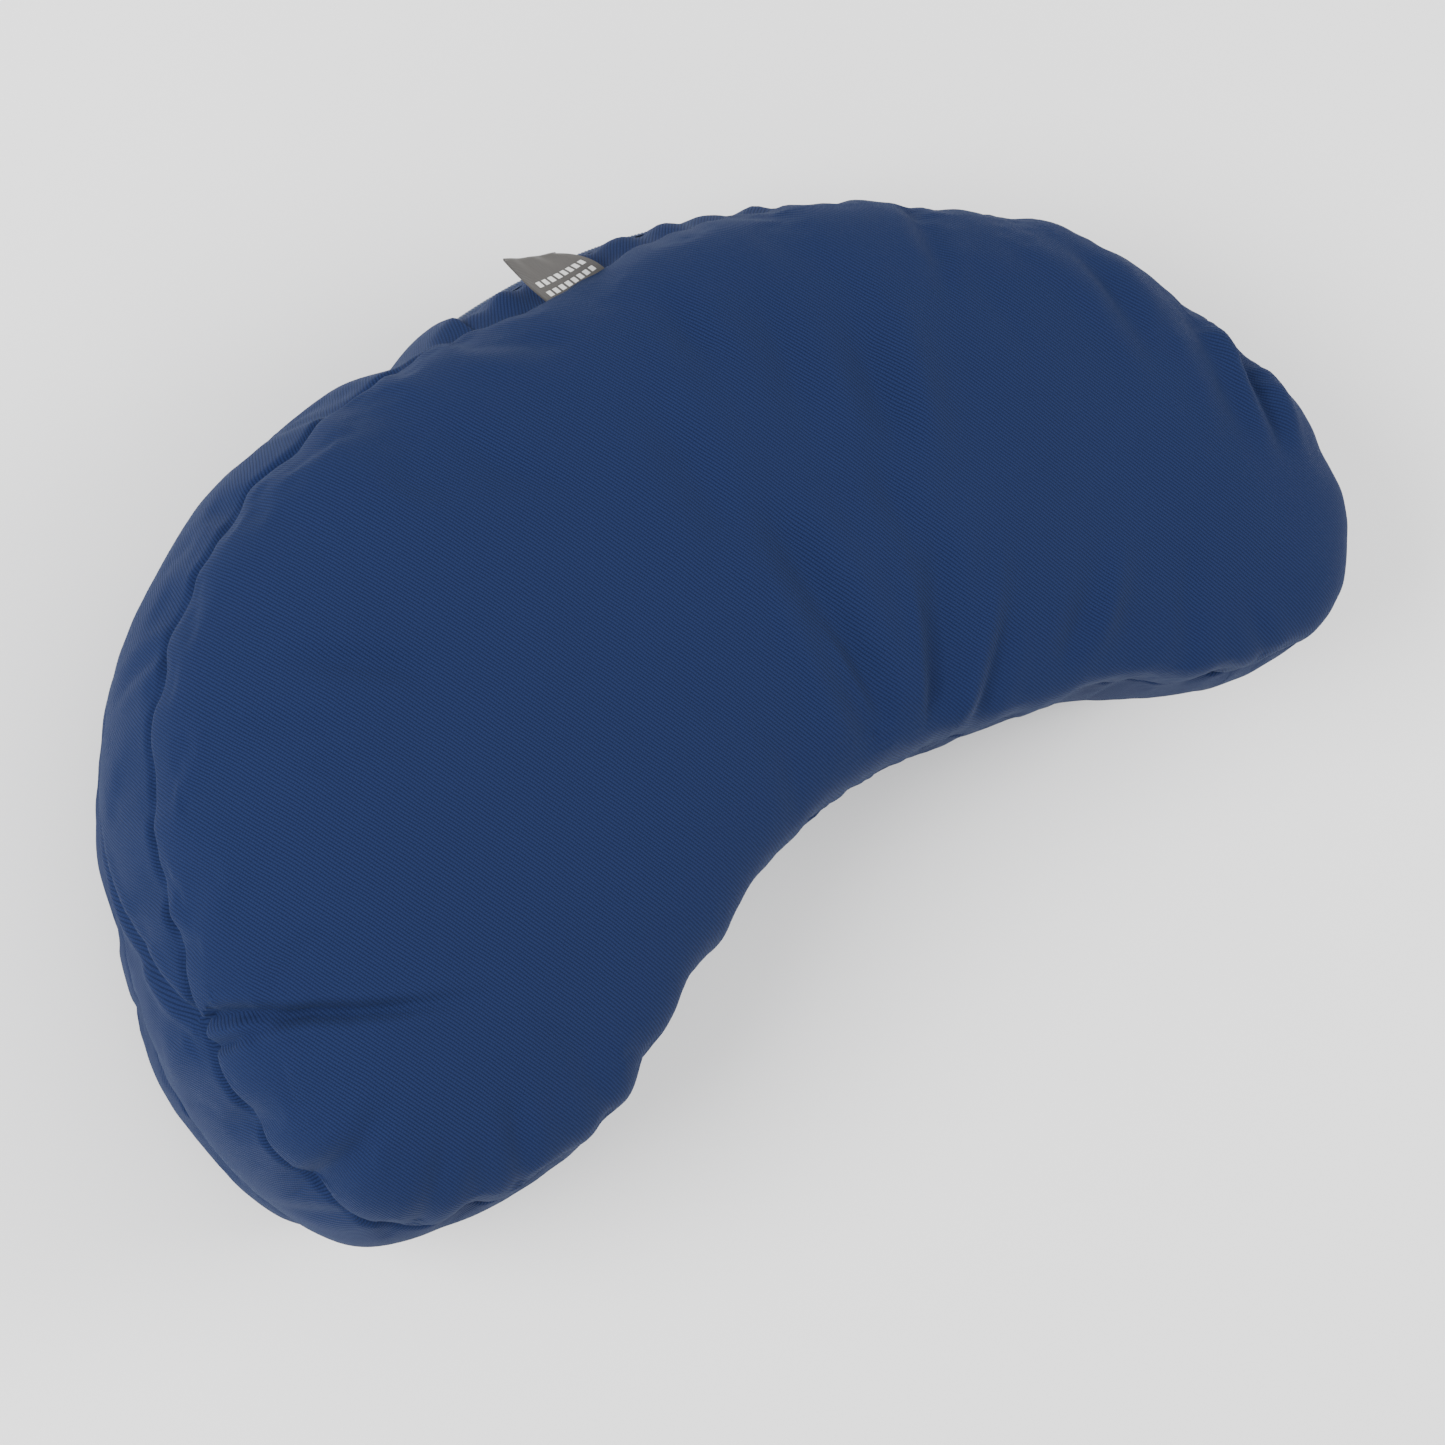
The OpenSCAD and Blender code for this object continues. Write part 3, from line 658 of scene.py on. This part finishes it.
# Hood over the zip's closed end: it lifts off the band by a smooth step towards
# its open mouth, where the cloth is folded back inside
hoodTurn = np.degrees(loop["turn"])
hoodTo = zipper["hoodAt"] - np.degrees(hoodCloth["length"] / zipRadius)
hoodSpan = np.arange(first - 2, first + np.sum(hoodTurn[zipSpan] > hoodTo) - 1)
hoodLoop = {k: f[hoodSpan] for k, f in loop.items()}
hoodShares = np.linspace(0, 1, hoodCloth["rows"])
hoodA = np.tile(hoodShares, (len(hoodSpan), 1))
hoodBase = bandPoint(hoodLoop, band[hoodSpan, 0], band[hoodSpan, -1], hoodA)
toMouth = np.linspace(0, 1, len(hoodSpan))[:, None]
offSeams = smooth(hoodA / hoodCloth["side"]) * smooth((1 - hoodA) / hoodCloth["side"])
lift = smooth(toMouth * 1.1) ** .8 * offSeams
hoodOut = np.concatenate([unit(hoodLoop["turn"]), np.zeros((len(hoodSpan), 1))], -1)[:, None]
hoodOuter = hoodBase + hoodOut * (hoodCloth["rest"] + hoodCloth["lift"] * lift)[..., None]
mouth = hoodOuter[-1:]
tangent = np.stack([np.sin(hoodLoop["turn"][-1]), -np.cos(hoodLoop["turn"][-1]), 0])
fold = [mouth + (tangent * np.sin(w) - hoodOut[-1:] * (1 - np.cos(w))) * hoodCloth["fold"]
        for w in np.linspace(0, np.pi, 7)[1:]]
hem = slice(None, -1 - hoodCloth["hemColumns"], -1)
hoodPoints = np.concatenate([hoodOuter] + fold + [hoodOuter[hem] - hoodOut[hem] * 2 * hoodCloth["fold"]], 0)
hoodFaces = gridFaces(hoodPoints.shape[0], hoodPoints.shape[1])
hoodUv = np.stack([runningLength(hoodPoints), -bandDrop * np.ones((len(hoodPoints), 1)) * hoodShares], -1)
hood = makeMesh("hood_cloth", hoodPoints.reshape(-1, 3), hoodFaces, cornerUv(hoodUv, hoodFaces))


# Two rows of nylon coil: a half-round bar whose section swells once per tooth
def coilPiece(name, side):
    start = np.radians(zipper["hoodAt"]) - coil["inset"] / zipRadius
    stop = loop["turn"][last]
    count = int((start - stop) * zipRadius / coil["pitch"])
    s = np.linspace(0, 1, count * coil["stepsPerTooth"] + 1)
    turn = start + (stop - start) * s
    swell = np.abs(np.sin(np.pi * (s * count + (.5 if side > 0 else 0)))) ** .6
    section = np.linspace(0, np.pi, coil["sectionPoints"])
    halfWidth = coil["width"] / 4 - coil["gap"]
    rise = coil["sink"] + coil["top"] * swell + coil["stand"]
    z = zipper["height"] + side * (coil["width"] / 4 + halfWidth * np.cos(section))[None] \
        + np.zeros((len(s), 1)) + side * coil["wobble"] * (swell[:, None] - .5)
    r = zipRadius - coil["sink"] + rise[:, None] * np.sin(section)[None] ** .7
    xy = arcs["outerCentre"] + unit(turn)[:, None] * r[..., None]
    points = np.concatenate([xy, z[..., None]], -1)
    faces = gridFaces(len(s), len(section), flip=side < 0)
    return makeMesh(name, points.reshape(-1, 3), faces)


coils = [coilPiece("coil_upper", 1), coilPiece("coil_lower", -1)]


# A ribbon folded in two: its section runs out, round the fold and back; it
# leans along the seam, lifts and twists towards its free end
def labelPiece():
    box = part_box("side_label")
    middle = (np.array(box[0]) + np.array(box[1])) / 2
    turn = heading(middle[:2] - arcs["outerCentre"])
    out, side = unit(turn), np.array([np.sin(turn), -np.cos(turn)])
    length, gap = label["length"], label["gap"]
    across = np.linspace(-.5, .5, label["columns"])
    s = np.linspace(0, 1, label["steps"])
    level = np.full(len(s), gap)
    foldTurn = np.linspace(-np.pi / 2, np.pi / 2, 13)
    lowerLeaf = np.stack([s * length, -level], -1)
    foldEnd = np.stack([length + gap * np.cos(foldTurn), gap * np.sin(foldTurn)], -1)
    profile = np.concatenate([lowerLeaf, foldEnd[1:-1], np.stack([s[::-1] * length, level], -1)])
    inward = -np.sign(profile[:, 1]) * label["thickness"]
    inner = profile + np.stack([np.zeros(len(profile)), inward], -1)
    profile = np.concatenate([profile, inner[::-1]])
    o, h = profile[:, 0][:, None], profile[:, 1][:, None]
    w = across[None] * label["width"]
    share = np.clip(o / length, 0, 1)
    lean = (label["lean"] + label["slant"] * across[None]) * share ** 1.2
    twist = np.radians(label["twist"]) * share * 1.2
    reach = -label["inset"] + o * (label["rootShare"] - label["droop"] * across[None] * share)
    curl = label["curl"] * np.sin(np.pi * share) * (.2 + 1.6 * across[None])
    height = label["seatHeight"] + h + label["lift"] * share + w * np.sin(twist) + curl
    height = height + label["ripple"] * np.cos(5 * np.pi * across[None]) * share
    along = w * np.cos(twist) + lean
    place = outerShareAt(turn) + across * label["width"] / arcs["length"]
    seamOut = outlineOffset(place) + outlineOffset(place, topSeamBumps)
    radius = crescent["outerRadius"] + seamOut[None] + reach
    xy = arcs["outerCentre"] + out * radius[..., None] + side * along[..., None]
    points = np.concatenate([xy, height[..., None]], -1)
    faces = gridFaces(len(profile), len(across), wrap=True, flip=True)
    uv = np.stack([np.broadcast_to(w, height.shape),
                   np.broadcast_to(runningLength(profile)[:, None], height.shape)], -1)
    return makeMesh("label_ribbon_piece", points.reshape(-1, 3), faces, cornerUv(uv, faces))


ribbon = labelPiece()


# The same skin drawn inwards, smooth, at a coarser spacing
def innerSkin(depth, rough):
    coarse = skin(1)
    out = {key: coarse[key] for key in skinParts}
    n = {k: gridNormals(out[k], wrap=k == "band", flip=k == "bottom") for k in out}
    out["band"][:, 0], out["band"][:, -1] = border(out["top"]), border(out["bottom"])
    edge = border(n["top"]) + n["band"][:, 0]
    edge /= np.linalg.norm(edge, axis=-1, keepdims=True)
    low = border(n["bottom"]) + n["band"][:, -1]
    low /= np.linalg.norm(low, axis=-1, keepdims=True)
    n["band"][:, 0], n["band"][:, -1] = edge, low
    columns, rows = out["top"].shape[:2]
    for key, value in (("top", edge), ("bottom", low)):
        n[key][:-1, -1], n[key][-1, :0:-1] = value[:columns - 1], value[columns - 1:columns + rows - 2]
        n[key][:0:-1, 0], n[key][0, :-1] = (value[columns + rows - 2:2 * columns + rows - 3],
                                            value[2 * columns + rows - 3:])
    for k in out:
        level = depth + rough * fillingSwell(out[k] * liner["swell"])[..., None]
        out[k] = out[k] - n[k] * level
    return out


bag = innerSkin(liner["gap"], .0002)
bagLap = np.linspace(0, arcs["length"], len(bag["band"]))[:, None] * np.ones(bag["band"].shape[1])
bagFlat = dict(top=bag["top"][..., :2], bottom=bag["bottom"][..., :2],
               band=np.stack([bagLap, bag["band"][..., 2]], -1))
bagPieces = []
for key in skinParts:
    faces = gridFaces(*bag[key].shape[:2], wrap=key == "band", flip=key == "bottom")
    bagPieces.append(makeMesh("inner_bag_" + key, bag[key].reshape(-1, 3), faces,
                              cornerUv(bagFlat[key], faces)))
hulls = innerSkin(liner["fill"], .0004)
hullFaces, before = [], 0
for key in skinParts:
    hullFaces.append(gridFaces(*hulls[key].shape[:2], wrap=key == "band", flip=key == "bottom") + before)
    before += hulls[key].shape[0] * hulls[key].shape[1]
hullPiece = makeMesh("hull_heap", np.concatenate([hulls[key].reshape(-1, 3) for key in skinParts]),
                     np.concatenate(hullFaces))


def newMaterial(name):
    material = bpy.data.materials.new(name)
    material.use_nodes = True
    nodes, links = material.node_tree.nodes, material.node_tree.links
    return material, nodes, links, nodes["Principled BSDF"]


def mathNode(tree, operation, a, b=None, third=None):
    node = tree.nodes.new("ShaderNodeMath")
    node.operation = operation
    for i, value in enumerate([a, b, third]):
        if value is None:
            continue
        if isinstance(value, (int, float)):
            node.inputs[i].default_value = value
        else:
            tree.links.new(value, node.inputs[i])
    return node.outputs[0]


# Height of a row of half round threads, one to each whole number
def halfWaves(tree, count):
    turn = mathNode(tree, "MULTIPLY", count, float(np.pi))
    return mathNode(tree, "ABSOLUTE", mathNode(tree, "SINE", turn))


# Twill: wales are stripes across the flat cloth at one angle; along each wale
# short floats repeat, shifted from wale to wale. Gives Height, and a colour factor
# that paints shade into the weave: darker in the grooves between threads, lighter
# on their crowns, with the fibres' own random tone and patchy wear on top.
def twillGroup():
    tree = bpy.data.node_groups.new("twill weave", "ShaderNodeTree")
    for name, kind, default in (("Cloth", "NodeSocketVector", None), ("Pitch", "NodeSocketFloat", .001),
                                ("Angle", "NodeSocketFloat", 2.0), ("Wear", "NodeSocketFloat", .5)):
        socket = tree.interface.new_socket(name, in_out="INPUT", socket_type=kind)
        if default is not None:
            socket.default_value = default
    for name in ("Height", "GrooveShadeAndTone"):
        tree.interface.new_socket(name, in_out="OUTPUT", socket_type="NodeSocketFloat")
    given, result = tree.nodes.new("NodeGroupInput"), tree.nodes.new("NodeGroupOutput")
    wobble = tree.nodes.new("ShaderNodeTexNoise")
    wobble.inputs["Scale"].default_value = 60
    wobble.inputs["Detail"].default_value = 2
    tree.links.new(given.outputs["Cloth"], wobble.inputs["Vector"])
    split = tree.nodes.new("ShaderNodeSeparateXYZ")
    tree.links.new(given.outputs["Cloth"], split.inputs[0])
    cosine = mathNode(tree, "COSINE", given.outputs["Angle"])
    sine = mathNode(tree, "SINE", given.outputs["Angle"])
    along = mathNode(tree, "ADD", mathNode(tree, "MULTIPLY", split.outputs["X"], cosine),
                     mathNode(tree, "MULTIPLY", split.outputs["Y"], sine))
    across = mathNode(tree, "SUBTRACT", mathNode(tree, "MULTIPLY", split.outputs["Y"], cosine),
                      mathNode(tree, "MULTIPLY", split.outputs["X"], sine))
    across = mathNode(tree, "ADD", across, mathNode(tree, "MULTIPLY", wobble.outputs["Fac"], .0012))
    wales = mathNode(tree, "DIVIDE", across, given.outputs["Pitch"])
    wale = mathNode(tree, "POWER", halfWaves(tree, wales), .7)
    shift = mathNode(tree, "MULTIPLY", mathNode(tree, "FLOOR", wales), .37)
    floatLength = mathNode(tree, "MULTIPLY", given.outputs["Pitch"], .8)
    floats = mathNode(tree, "ADD", mathNode(tree, "DIVIDE", along, floatLength), shift)
    thread = mathNode(tree, "MULTIPLY", halfWaves(tree, floats), .35)
    height = mathNode(tree, "MULTIPLY", wale, mathNode(tree, "ADD", .65, thread))
    fibre = tree.nodes.new("ShaderNodeTexNoise")
    fibre.inputs["Scale"].default_value = 2600
    fibre.inputs["Detail"].default_value = 3
    tree.links.new(given.outputs["Cloth"], fibre.inputs["Vector"])
    fade = tree.nodes.new("ShaderNodeTexNoise")
    fade.inputs["Scale"].default_value = 22
    fade.inputs["Detail"].default_value = 4
    tree.links.new(given.outputs["Cloth"], fade.inputs["Vector"])
    tree.links.new(mathNode(tree, "ADD", height, mathNode(tree, "MULTIPLY", fibre.outputs["Fac"], .35)),
                   result.inputs["Height"])
    uneven = mathNode(tree, "MULTIPLY", mathNode(tree, "SUBTRACT", fade.outputs["Fac"], .5),
                      given.outputs["Wear"])
    # painted shade: the colour follows the threads' height, dark in the grooves and light on the crowns;
    # the fibre noise is the threads' own tone
    grooveShadeAndFibre = mathNode(tree, "ADD", mathNode(tree, "MULTIPLY", height, .5),
                     mathNode(tree, "MULTIPLY", fibre.outputs["Fac"], .5))
    tree.links.new(mathNode(tree, "ADD", grooveShadeAndFibre, uneven), result.inputs["GrooveShadeAndTone"])
    return tree


weave = twillGroup()


def clothMaterial(name, dark, light, angle, pitch=.001, bumpSize=.00018, sheen=.05):
    material, nodes, links, shader = newMaterial(name)
    source = nodes.new("ShaderNodeUVMap")
    source.uv_map = "cloth"
    group = nodes.new("ShaderNodeGroup")
    group.node_tree = weave
    group.inputs["Pitch"].default_value = pitch
    group.inputs["Angle"].default_value = np.radians(angle)
    group.inputs["Wear"].default_value = .06
    links.new(source.outputs["UV"], group.inputs["Cloth"])
    # the ramp turns that factor into colour, so the weave's darker grooves are painted shade
    ramp = nodes.new("ShaderNodeValToRGB")
    ramp.color_ramp.elements[0].position, ramp.color_ramp.elements[0].color = .25, (*dark, 1)
    ramp.color_ramp.elements[1].position, ramp.color_ramp.elements[1].color = .75, (*light, 1)
    links.new(group.outputs["GrooveShadeAndTone"], ramp.inputs["Fac"])
    links.new(ramp.outputs["Color"], shader.inputs["Base Color"])
    bumpNode = nodes.new("ShaderNodeBump")
    bumpNode.inputs["Distance"].default_value = bumpSize
    bumpNode.inputs["Strength"].default_value = 1
    links.new(group.outputs["Height"], bumpNode.inputs["Height"])
    links.new(bumpNode.outputs["Normal"], shader.inputs["Normal"])
    shader.inputs["Roughness"].default_value = .88
    shader.inputs["Specular IOR Level"].default_value = .12
    shader.inputs["Sheen Weight"].default_value = sheen
    shader.inputs["Sheen Roughness"].default_value = .45
    shader.inputs["Sheen Tint"].default_value = (.45, .62, 1, 1)
    return material


# Ribbon: fine ribs across, and rows of short pale woven dashes near the fold
def labelMaterial():
    material, nodes, links, shader = newMaterial("label ribbon")
    tree = material.node_tree
    source = nodes.new("ShaderNodeUVMap")
    source.uv_map = "cloth"
    split = nodes.new("ShaderNodeSeparateXYZ")
    links.new(source.outputs["UV"], split.inputs[0])
    x, y = split.outputs["X"], split.outputs["Y"]

    def within(value, middle, half):
        away = mathNode(tree, "ABSOLUTE", mathNode(tree, "SUBTRACT", value, middle))
        return mathNode(tree, "LESS_THAN", away, half)
    ribWave = mathNode(tree, "SINE", mathNode(tree, "MULTIPLY", y, np.pi / dash["ribPitch"]))
    rib = mathNode(tree, "ABSOLUTE", ribWave)
    row = mathNode(tree, "FRACT", mathNode(tree, "DIVIDE", y, dash["rowPitch"]))
    cell = mathNode(tree, "FRACT", mathNode(tree, "DIVIDE", x, dash["pitch"]))
    inRow, inCell = within(row, .5, dash["rowHalf"]), within(cell, .5, dash["half"])
    inWidth = mathNode(tree, "LESS_THAN", mathNode(tree, "ABSOLUTE", x), dash["reach"])
    inRows = within(y, label["length"] * dash["place"], dash["rowPitch"])
    mask = mathNode(tree, "MULTIPLY", mathNode(tree, "MULTIPLY", inRow, inCell),
                    mathNode(tree, "MULTIPLY", inWidth, inRows))
    mix = nodes.new("ShaderNodeMix")
    mix.data_type = "RGBA"
    mix.inputs["A"].default_value = (.062, .058, .054, 1)
    mix.inputs["B"].default_value = (.62, .62, .60, 1)
    links.new(mask, mix.inputs["Factor"])
    links.new(mix.outputs["Result"], shader.inputs["Base Color"])
    bumpNode = nodes.new("ShaderNodeBump")
    bumpNode.inputs["Distance"].default_value = .00006
    raised = mathNode(tree, "ADD", rib, mathNode(tree, "MULTIPLY", mask, 1.5))
    links.new(raised, bumpNode.inputs["Height"])
    links.new(bumpNode.outputs["Normal"], shader.inputs["Normal"])
    shader.inputs["Roughness"].default_value = .55
    shader.inputs["Sheen Weight"].default_value = .25
    return material


# Plain finishes that read the piece's own position
def plainMaterial(name, colour, roughness, metallic=0., grain=0., grainSize=400.):
    material, nodes, links, shader = newMaterial(name)
    shader.inputs["Base Color"].default_value = (*colour, 1)
    shader.inputs["Metallic"].default_value = metallic
    place = nodes.new("ShaderNodeTexCoord")
    noise = nodes.new("ShaderNodeTexNoise")
    noise.inputs["Scale"].default_value = grainSize
    noise.inputs["Detail"].default_value = 3
    links.new(place.outputs["Object"], noise.inputs["Vector"])
    patchy = mathNode(material.node_tree, "MULTIPLY", noise.outputs["Fac"], .16)
    rough = mathNode(material.node_tree, "ADD", patchy, roughness - .08)
    links.new(rough, shader.inputs["Roughness"])
    if grain:
        bumpNode = nodes.new("ShaderNodeBump")
        bumpNode.inputs["Distance"].default_value = grain
        links.new(noise.outputs["Fac"], bumpNode.inputs["Height"])
        links.new(bumpNode.outputs["Normal"], shader.inputs["Normal"])
    return material


# The navy of the cover. The dark end goes into the weave's grooves, so the step from light to dark is
# partly painted shade and partly the threads' own tone. The liner's cotton colours work the same way.
navyDark, navyLight = (.0028, .0068, .0285), (.0092, .0182, .0650)
panelTwill = clothMaterial("navy twill panels", navyDark, navyLight, -65)
bandTwill = clothMaterial("navy twill band", navyDark, navyLight, -58)
tapeCloth = plainMaterial("zip tape", (.014, .030, .080), .8, grain=.0001, grainSize=1800)
coilNylon = plainMaterial("zip coil", (.012, .027, .075), .42, grainSize=300)
nickel = plainMaterial("nickel", (.60, .60, .62), .32, metallic=1.)
cotton = clothMaterial("unbleached cotton", (.52, .46, .36), (.78, .72, .60), 45, pitch=.0009, sheen=.15)
hullMaterial = plainMaterial("hulls", (.075, .045, .028), .7, grain=.0014, grainSize=260)
ribbonCloth = labelMaterial()


def finishPiece(piece, material, slot, *nodes):
    piece.data.materials.append(material)
    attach(piece, "cushion")
    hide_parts(*nodes)


finishPiece(topPiece, panelTwill, "cover_twill", "cover_top_panel")
finishPiece(bottomPiece, panelTwill, "cover_twill", "cover_bottom_panel")
finishPiece(bandPiece, bandTwill, "cover_twill", "cover_band")
finishPiece(facings[0], bandTwill, "cover_twill", "zip_facing_upper")
finishPiece(facings[1], bandTwill, "cover_twill", "zip_facing_lower")
finishPiece(hood, bandTwill, "cover_twill", "zip_hood")
finishPiece(coils[0], coilNylon, "zip_teeth", "zip_teeth_upper")
finishPiece(coils[1], coilNylon, "zip_teeth", "zip_teeth_lower")
finishPiece(ribbon, ribbonCloth, "label_ribbon", "side_label")
for piece, node in zip(bagPieces, ("liner_top_panel", "liner_bottom_panel", "liner_band")):
    finishPiece(piece, cotton, "liner_cotton", node)
finishPiece(hullPiece, hullMaterial, "buckwheat_hulls", "hull_filling")
for node, material in (("zip_tape_upper", tapeCloth), ("zip_tape_lower", tapeCloth),
                       ("zip_top_stops", nickel), ("zip_bottom_stop", nickel),
                       ("zip_slider", nickel), ("zip_pull_tab", nickel)):
    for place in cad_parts[node].material_slots:
        place.material = material
print("pieces made and dressed")


floorHalf = 6
corners = np.array([(-1, -1, 0), (1, -1, 0), (1, 1, 0), (-1, 1, 0)], float) * floorHalf
floor = makeMesh("floor", corners, np.array([(0, 1, 2, 3)]))
floor.data.materials.append(plainMaterial("pale floor", (.93, .93, .93), .9, grainSize=3))
world = bpy.data.worlds.new("studio")
bpy.context.scene.world = world
world.use_nodes = True
world.node_tree.nodes["Background"].inputs[0].default_value = (1, 1, 1, 1)
world.node_tree.nodes["Background"].inputs[1].default_value = 1.25


def softLight(name, place, aim, size, power):
    light = bpy.data.lights.new(name, "AREA")
    light.shape, light.size, light.energy = "DISK", size, power
    lamp = bpy.data.objects.new(name, light)
    towards = (Vector(aim) - Vector(place)).to_track_quat("-Z", "Y")
    lamp.matrix_world = Matrix.Translation(place) @ towards.to_matrix().to_4x4()
    bpy.context.scene.collection.objects.link(lamp)


softLight("overhead light", (-1.4, .6, 1.5), (0, 0, .05), 1.0, 56)
softLight("side light", (1.5, -.6, 1.3), (0, 0, .05), 1.2, 26)

# Camera: a viewing direction by heading and tilt, rolled about it, then turned
# a little so that the cushion sits where it does in the frame
tilt, turn, roll = (float(np.radians(shot[k])) for k in ("tilt", "heading", "roll"))
away = Vector((np.sin(tilt) * np.cos(turn), np.sin(tilt) * np.sin(turn), np.cos(tilt)))
level = Vector((0, 1, 0)).cross(away).normalized()
upright = away.cross(level)
right = level * float(np.cos(roll)) + upright * float(np.sin(roll))
up = upright * float(np.cos(roll)) - level * float(np.sin(roll))
eye = Vector(shot["focus"]) + away * shot["distance"]
away = (away - right * shot["lookRight"] - up * shot["lookUp"]).normalized()
right = (right - away * right.dot(away)).normalized()
up = away.cross(right)
camera = bpy.data.objects.new("camera", bpy.data.cameras.new("camera"))
camera.data.lens, camera.data.sensor_width = shot["lens"], 36
camera.data.clip_end = 50
camera.matrix_world = Matrix(((right.x, up.x, away.x, eye.x), (right.y, up.y, away.y, eye.y),
                              (right.z, up.z, away.z, eye.z), (0, 0, 0, 1)))
bpy.context.scene.collection.objects.link(camera)
bpy.context.scene.camera = camera
print("scene set")
